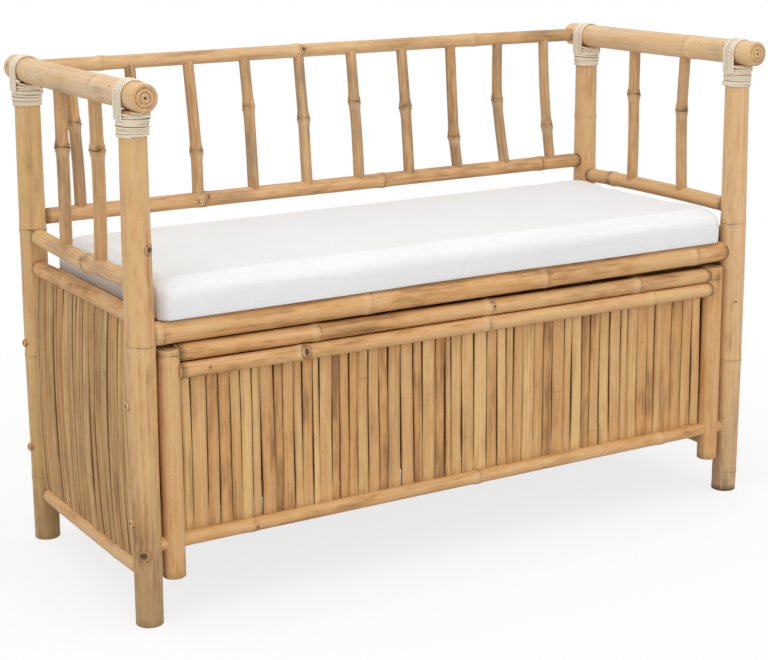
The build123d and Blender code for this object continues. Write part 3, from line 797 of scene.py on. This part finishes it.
def side_place(sign, inner, bow, bottom, top):
    """Slats that face a side, with their backs at inner and bowed outwards between bottom and top."""
    def place(across, out, up):
        share = (up - bottom) / (top - bottom)
        curve = bow * np.sin(math.pi * np.clip(share, 0, 1)) ** 0.7
        return np.stack([sign * (inner + curve + out), sign * across, up], axis=-1)
    return place


low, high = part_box("flap_slats")
upright_panel("flap_slats", FLAP_SLATS, facing_place(high.y, 1), high.x - FLAP_SLAT_INSET,
              low.z - SLAT_TUCK, high.z, high.y - low.y - SLAT_FACE, "front_flap", spread=0.38,
              foot_spread=0.0016)

low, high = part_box("rear_slats")
upright_panel("rear_slats", REAR_SLATS, facing_place(low.y, -1), high.x + SLAT_TUCK, low.z - SLAT_TUCK,
              high.z + SLAT_TUCK, high.y - low.y - SLAT_FACE, gap=REAR_SLAT_GAP, lean=0.0)

for side, sign in SIDES.items():
    low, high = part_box(f"side_slats_{side}")
    inner = (low.x if sign > 0 else -high.x) + SIDE_SLAT_OUTSET
    bow = (high.x - low.x) - CAD_SIDE_SLAT - SIDE_SLAT_OUTSET
    bottom = low.z - SLAT_TUCK
    top = high.z + SLAT_TUCK
    gap, sway = SIDE_SLAT_SPACING[side]
    upright_panel(f"side_slats_{side}", SIDE_SLATS, side_place(sign, inner, bow, bottom, top),
                  high.y + SLAT_TUCK, bottom, top, SIDE_SLAT_THICKNESS, spread=0.5, gap=gap, tone_shift=-0.08,
                  rows=30, sway=sway, weathered=0.26)


def lath_place(middle_y, bottom_z):
    """A lath along the length, face up."""
    return lambda across, out, up: np.stack([up, middle_y - across, bottom_z + out], axis=-1)


def flat_laths(node, count, pitch, width):
    """Laths lying side by side in one CAD node."""
    low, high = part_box(node)
    random = piece_random()
    parts = []
    for index in range(count):
        y = (low.y + high.y) / 2 + (index - (count - 1) / 2) * pitch
        parts.append(slat(0, width, high.z - low.z - LATH_FACE, low.x, high.x, lath_place(y, low.z), random,
                          slat_tone(random), rows=40, bulge=0.0006, lean=0.0003))
    make_piece(node, parts, "bamboo_slat")


def batten_place(face, sign, middle_z):
    """A batten along the length, its back on a plane at face."""
    return lambda across, out, up: np.stack([up, face + sign * out, middle_z - sign * across], axis=-1)


def panel_battens(node, body, sign):
    """The two battens behind a panel of slats."""
    low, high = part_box(node)
    random = piece_random()
    face = low.y if sign > 0 else high.y
    parts = []
    for bottom in (low.z, high.z - BATTEN_WIDTH):
        place_of = batten_place(face, sign, bottom + BATTEN_WIDTH / 2)
        parts.append(slat(0, BATTEN_WIDTH, high.y - low.y - LATH_FACE, low.x, high.x, place_of, random, 0.4,
                          rows=40, bulge=0.0005, lean=0.0))
    make_piece(node, parts, "bamboo_slat", body)


flat_laths("seat_slats", *SEAT_LATHS)
flat_laths("floor_slats", *FLOOR_LATHS)
panel_battens("flap_battens", "front_flap", 1)
panel_battens("rear_battens", "frame", -1)

# Pegs in the legs: rounded heads with a small hollow, with painted shade darkening their rims and hollows
low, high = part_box("locking_pegs")
leg_boxes = [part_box(f"leg_{depth}_left") for depth in DEPTHS]
pegs = []
for sign in SIDES.values():
    for leg_low, leg_high in leg_boxes:
        y = (leg_low.y + leg_high.y) / 2
        for z in (low.z + CAD_PEG_RADIUS, high.z - CAD_PEG_RADIUS):
            foot = Vector((sign * (high.x - PEG_SINK), y, z))
            head = foot + Vector((sign * PEG_LENGTH, 0, 0))
            pegs.append(culm(foot, head, (PEG_RADIUS, PEG_RADIUS), (), crook=0.0, around=24,
                             end_shape=PEG_END))
make_piece("locking_pegs", pegs, "bamboo_pole")


# Lashings


def strand(points, outward, half_width, half_thickness, random, tone, around=10, twist=0.0):
    """A flattened strand along points that face outward. twist nips it at even steps."""
    ahead = np.gradient(points, axis=0)
    ahead = ahead / np.linalg.norm(ahead, axis=1)[:, None]
    outward = outward - (outward * ahead).sum(1)[:, None] * ahead
    outward = outward / np.linalg.norm(outward, axis=1)[:, None]
    across = np.cross(ahead, outward)
    travelled = np.concatenate([[0], np.cumsum(np.linalg.norm(np.diff(points, axis=0), axis=1))])
    angles = np.arange(around) * 2 * math.pi / around
    wide = half_width * np.sign(np.cos(angles)) * np.abs(np.cos(angles)) ** 0.8
    thick = half_thickness * np.sign(np.sin(angles)) * np.abs(np.sin(angles)) ** 0.8
    nip = 1 - twist * (0.5 + 0.5 * np.cos(travelled * 2 * math.pi / TWIST_STEP + random.uniform(0, 6)))
    rows = (points[:, None, :] + (nip[:, None] * wide[None, :])[..., None] * across[:, None, :]
            + thick[None, :, None] * outward[:, None, :])
    grain = np.stack(np.broadcast_arrays(wide, thick, travelled[:, None]), axis=-1)
    grain = grain + random.uniform(0, 9, 3)
    return {"rows": rows[:, ::-1], "grain": grain[:, ::-1], "tone": tone}


def round_leg(centre, angle, reach, height):
    """Points round a leg, and their outward directions."""
    outward = np.stack([np.cos(angle), np.sin(angle), np.zeros_like(angle)], axis=1)
    points = np.stack([centre.x + reach * outward[:, 0], centre.y + reach * outward[:, 1], height], axis=1)
    return points, outward


def neck_strands(centre, low_z, high_z, random):
    """The winding round a leg top, its first turns rising to the arm rail, and a tie wound over it."""
    half_width, half_thickness = NECK_STRAND
    pitch = (high_z + NECK_LIFT - low_z - 2 * half_width) / NECK_TURNS
    turns = np.linspace(0, NECK_TURNS, NECK_POINTS * NECK_TURNS)
    angle = 2 * math.pi * turns + random.uniform(0, 6)
    wander = 0.0004 * np.sin(angle * 0.37 + random.uniform(0, 6)) + 0.0003 * np.sin(angle + turns)
    saddle = SADDLE_RISE * np.cos(angle) ** 2 * np.clip(1 - turns / 1.6, 0, 1)
    height = high_z + NECK_LIFT - half_width - pitch * turns + wander + saddle
    reach = LEG_RADII[2] + half_thickness + NECK_GAP + 0.0004 * np.sin(angle * 0.61 + random.uniform(0, 6))
    reach = reach + 0.0008 * bell(turns - NECK_TURNS / 2, 1.6)
    points, outward = round_leg(centre, angle, reach, height)
    tone = random.uniform(-0.03, 0.08)
    winding = strand(points, outward, pitch * 0.52, half_thickness, random, tone, twist=0.1)

    share = np.linspace(0, 1, TIE_POINTS)
    angle = random.uniform(0, 6) + share * 4.0
    reach = reach.max() + half_thickness * 1.3 * np.sin(math.pi * share) ** 0.5
    height = high_z - 0.002 - (high_z - low_z - 0.006) * ramp(0.1, 0.9, share)
    points, outward = round_leg(centre, angle, reach, height)
    tone = random.uniform(-0.05, 0.08)
    tie = strand(points, outward, half_width, half_thickness * 0.8, random, tone)
    return [winding, tie]


def strap_strand(centre, y, foot_z, arm_z, arm_radius, random):
    """One strand of a strap: up beside the arm rail, over it and down again."""
    half_thickness = NECK_STRAND[1]
    lean = random.uniform(-0.0008, 0.0008)
    radius = arm_radius + half_thickness + STRAP_GAP + random.uniform(-0.0002, 0.0004)
    rise = np.linspace(foot_z, arm_z, STRAP_SIDE_POINTS + 1)[:-1]
    over = np.linspace(math.pi, 0, STRAP_TOP_POINTS)
    beside = np.ones(STRAP_SIDE_POINTS)
    out_x = np.concatenate([-beside, np.cos(over), beside])
    out_z = np.concatenate([0 * beside, np.sin(over), 0 * beside])
    z = np.concatenate([rise, arm_z + np.sin(over) * radius, rise[::-1]])
    y = y + lean * np.sin(np.linspace(0, 3, len(z)))
    points = np.stack([centre.x + out_x * radius, y, z], axis=1)
    outward = np.stack([out_x, np.zeros(len(z)), out_z], axis=1)
    tone = random.uniform(-0.03, 0.08)
    return strand(points, outward, STRAP_PITCH / 2 * 1.06, half_thickness, random, tone, twist=0.28)


# Lashings of the four leg tops
neck_low, neck_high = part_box("lashing_necks")
arm_low, arm_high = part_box("arm_rail_left")
arm_z = (arm_low.z + arm_high.z) / 2
arm_radius = (arm_high.z - arm_low.z) / 2 - CAD_RING_HEIGHT
necks = []
straps = []
for depth in DEPTHS:
    for side in SIDES:
        leg_low, leg_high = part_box(f"leg_{depth}_{side}")
        centre = (leg_low + leg_high) / 2
        random = piece_random()
        necks += neck_strands(centre, neck_low.z, neck_high.z, random)
        for index in range(STRAP_STRANDS):
            y = centre.y + (index - (STRAP_STRANDS - 1) / 2) * STRAP_PITCH
            straps.append(strap_strand(centre, y, neck_high.z - 0.006, arm_z, arm_radius, random))
make_piece("lashing_necks", necks, "cane")
make_piece("lashing_straps", straps, "cane")


# Cushion


def cushion_outline(half_x, half_y):
    """Points round the cushion, with cut corners and sides drawn in between them."""
    corners = []
    for side_x, side_y in ((1, -1), (1, 1), (-1, 1), (-1, -1)):
        on_end = (side_x * half_x, side_y * (half_y - CUSHION_CORNER))
        on_front = (side_x * (half_x - CUSHION_CORNER), side_y * half_y)
        corners += [on_end, on_front] if side_x * side_y > 0 else [on_front, on_end]
    points = []
    for (x, y), (next_x, next_y) in zip(corners, corners[1:] + corners[:1]):
        is_side = math.hypot(next_x - x, next_y - y) > 0.1
        steps = 24 if is_side else 3
        for step in range(steps):
            share = step / steps
            draw = 1 - CUSHION_DRAW * math.sin(math.pi * share) / half_y if is_side else 1
            draw_x = draw if abs(next_x - x) < 0.01 else 1
            draw_y = draw if abs(next_y - y) < 0.01 else 1
            points.append(((x + (next_x - x) * share) * draw_x, (y + (next_y - y) * share) * draw_y))
    return np.array(points)


def cushion_cover():
    """The cushion's closed cover before it is filled, in rows from its foot to its rounded edge."""
    low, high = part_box("seat_cushion")
    middle = (low + high) / 2
    half_x = (high.x - low.x) / 2 - CUSHION_SLACK
    half_y = (high.y - low.y) / 2 - CUSHION_SLACK
    top = high.z - CUSHION_CROWN
    outline = cushion_outline(half_x, half_y)
    levels = [(low.z - 0.004, 0.001), (low.z + 0.004, 0.0)]
    for turn in np.radians((0, 22.5, 45, 67.5, 90)):
        levels.append((top - CUSHION_EDGE * (1 - math.sin(turn)), CUSHION_EDGE * (1 - math.cos(turn))))
    rows = []
    for height, inset in levels:
        x = middle.x + outline[:, 0] * (1 - CUSHION_END_SHARE * inset / half_x)
        y = middle.y + outline[:, 1] * (1 - inset / half_y)
        rows.append(np.column_stack([x, y, np.full(len(outline), height)]))
    return np.array(rows)


def inflate(piece, low, high, most, inward=0.0015):
    """Blows a closed cover up as cloth: no point goes out further than most or in further than inward."""
    start = np.array([vertex.co[:] for vertex in piece.data.vertices])
    outward = np.array([vertex.normal[:] for vertex in piece.data.vertices])
    cloth = piece.modifiers.new("cloth", "CLOTH")
    for setting, value in CLOTH_SETTINGS.items():
        setattr(cloth.settings, setting, value)
    cloth.settings.effector_weights.gravity = 0
    scene = bpy.context.scene
    for number in range(1, CLOTH_FRAMES + 1):
        scene.frame_set(number)
    moved = piece.evaluated_get(bpy.context.evaluated_depsgraph_get()).to_mesh()
    end = np.array([vertex.co[:] for vertex in moved.vertices])
    piece.modifiers.remove(cloth)
    scene.frame_set(1)

    step = end - start
    length = np.linalg.norm(step, axis=1)
    allowed = np.where((step * outward).sum(1) > 0, most, inward)
    placed = start + step * np.minimum(1, allowed / np.maximum(length, 1e-9))[:, None]
    middle = np.array((low + high) / 2)
    reach = np.abs(placed - middle).max(0)
    fit = np.array((high - low) / 2) / reach
    placed[:, :2] = middle[:2] + (placed[:, :2] - middle[:2]) * fit[:2]
    wave = np.sin(27 * placed[:, 0] + 2.1 * np.sin(9 * placed[:, 1])) * np.sin(34 * placed[:, 1] + 1.3)
    placed[:, 2] += CUSHION_WAVE * wave * ramp(low.z + 0.02, high.z - 0.006, placed[:, 2])
    placed[:, 2] = np.clip(placed[:, 2], low.z, high.z + 0.002)
    piece.data.vertices.foreach_set("co", placed.astype(np.float32).ravel())
    piece.data.update()


def make_cushion():
    """The seat cushion: a sewn cover on an even grid, inflated as cloth."""
    points, faces = skin(cushion_cover())
    mesh = bpy.data.meshes.new("seat_cushion_cover")
    mesh.from_pydata(points.tolist(), [], faces)
    cushion = bpy.data.objects.new("cotton_seat_cushion", mesh)
    bpy.context.scene.collection.objects.link(cushion)
    remesh = cushion.modifiers.new("even", "REMESH")
    remesh.mode = "VOXEL"
    remesh.voxel_size = CUSHION_GRID
    bpy.context.view_layer.objects.active = cushion
    cushion.select_set(True)
    bpy.ops.object.modifier_apply(modifier="even")
    low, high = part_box("seat_cushion")
    inflate(cushion, low, high, CUSHION_CROWN + 0.004)
    smooth = cushion.modifiers.new("fine", "SUBSURF")
    smooth.levels = 1
    smooth.render_levels = 1
    cushion.data.materials.append(cotton)
    cushion.data.shade_smooth()
    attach(cushion, "cushion")
    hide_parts("seat_cushion")


make_cushion()


# Floor, light and camera


def floor_material():
    """Paper that keeps shadows, glows white to the camera and reflects less light onto the bench."""
    material, shader, nodes = new_material("studio_floor")
    paper = nodes.add("TexNoise", {"Scale": 3.0}).outputs["Fac"]
    seen_colour = nodes.ramped(paper, [(0.3, (0.9, 0.9, 0.9)), (0.7, (0.93, 0.93, 0.93))])
    bounce_colour = nodes.ramped(paper, [(0.3, (0.48, 0.48, 0.48)), (0.7, (0.52, 0.52, 0.52))])
    rays = nodes.add("LightPath").outputs
    colour = nodes.mixed(rays["Is Camera Ray"], bounce_colour, seen_colour)
    nodes.feed(shader, {"Base Color": colour, "Roughness": 0.9, "Specular IOR Level": 0.0})
    seen = nodes.combined("MAXIMUM", rays["Is Camera Ray"], rays["Is Glossy Ray"],
                          rays["Is Transmission Ray"])
    place = nodes.add("TexCoord").outputs["Object"]
    distance = nodes.add("VectorMath", {0: place}, operation="LENGTH").outputs["Value"]
    white_share = nodes.scaled(distance, *FLOOR_GLOW_REACH, *FLOOR_GLOW, interpolation_type="SMOOTHSTEP")
    glow = nodes.add("Emission", {"Color": WHITE, "Strength": 1.0})
    share = nodes.combined("MULTIPLY", seen, white_share)
    nodes.surface("Material Output", share, shader.outputs["BSDF"], glow.outputs[0])
    return material


def make_world():
    """Even light from all round, which the camera sees as plain white."""
    world = bpy.data.worlds.new("studio")
    bpy.context.scene.world = world
    world.use_nodes = True
    nodes = Shading(world.node_tree)
    light = world.node_tree.nodes["Background"]
    nodes.feed(light, {"Color": WHITE, "Strength": SURROUND_STRENGTH})
    white = nodes.add("Background", {"Color": WHITE, "Strength": 1.0})
    seen = nodes.add("LightPath").outputs["Is Camera Ray"]
    nodes.surface("World Output", seen, light.outputs[0], white.outputs[0])


def soft_light(name, place, target, size, power):
    """A square soft box that faces a point."""
    lamp = bpy.data.lights.new(name, "AREA")
    lamp.shape = "SQUARE"
    lamp.size = size
    lamp.energy = power
    lamp_object = bpy.data.objects.new(name, lamp)
    bpy.context.scene.collection.objects.link(lamp_object)
    lamp_object.location = place
    lamp_object.rotation_euler = (Vector(target) - Vector(place)).to_track_quat("-Z", "Y").to_euler()


def make_camera():
    """The camera of the photograph."""
    data = bpy.data.cameras.new("camera")
    data.sensor_width = SENSOR_WIDTH
    data.lens = FOCAL_PIXELS / IMAGE_WIDTH * SENSOR_WIDTH
    data.shift_y = CAMERA_SHIFT_Y
    camera = bpy.data.objects.new("camera", data)
    bpy.context.scene.collection.objects.link(camera)
    level = math.cos(CAMERA_TILT)
    ahead = Vector((math.sin(CAMERA_HEADING) * level, math.cos(CAMERA_HEADING) * level,
                    -math.sin(CAMERA_TILT)))
    right = Vector((math.cos(CAMERA_HEADING), -math.sin(CAMERA_HEADING), 0))
    up = right.cross(ahead)
    rolled_right = right * math.cos(CAMERA_ROLL) + up * math.sin(CAMERA_ROLL)
    rolled_up = up * math.cos(CAMERA_ROLL) - right * math.sin(CAMERA_ROLL)
    turned = Matrix((rolled_right, rolled_up, -ahead)).transposed().to_4x4()
    camera.matrix_world = Matrix.Translation(CAMERA_PLACE) @ turned
    return camera


bpy.ops.mesh.primitive_plane_add(size=FLOOR_SIZE, location=(0, 0, 0))
floor = bpy.context.object
floor.name = "studio_floor"
floor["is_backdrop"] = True
floor.data.materials.append(floor_material())
make_world()
soft_light("front_light", place=(0.5, -3.8, 1.2), target=(0, 0, 0.35), size=2.4, power=34)
soft_light("top_light", place=(-0.3, -0.4, 3.6), target=(0, 0, 0.3), size=2.6, power=34)
soft_light("side_light", place=(-3.4, -1.2, 1.3), target=(0, 0, 0.35), size=2.0, power=19)
bpy.context.scene.camera = make_camera()
bpy.context.scene.view_settings.view_transform = "Standard"

low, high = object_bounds()
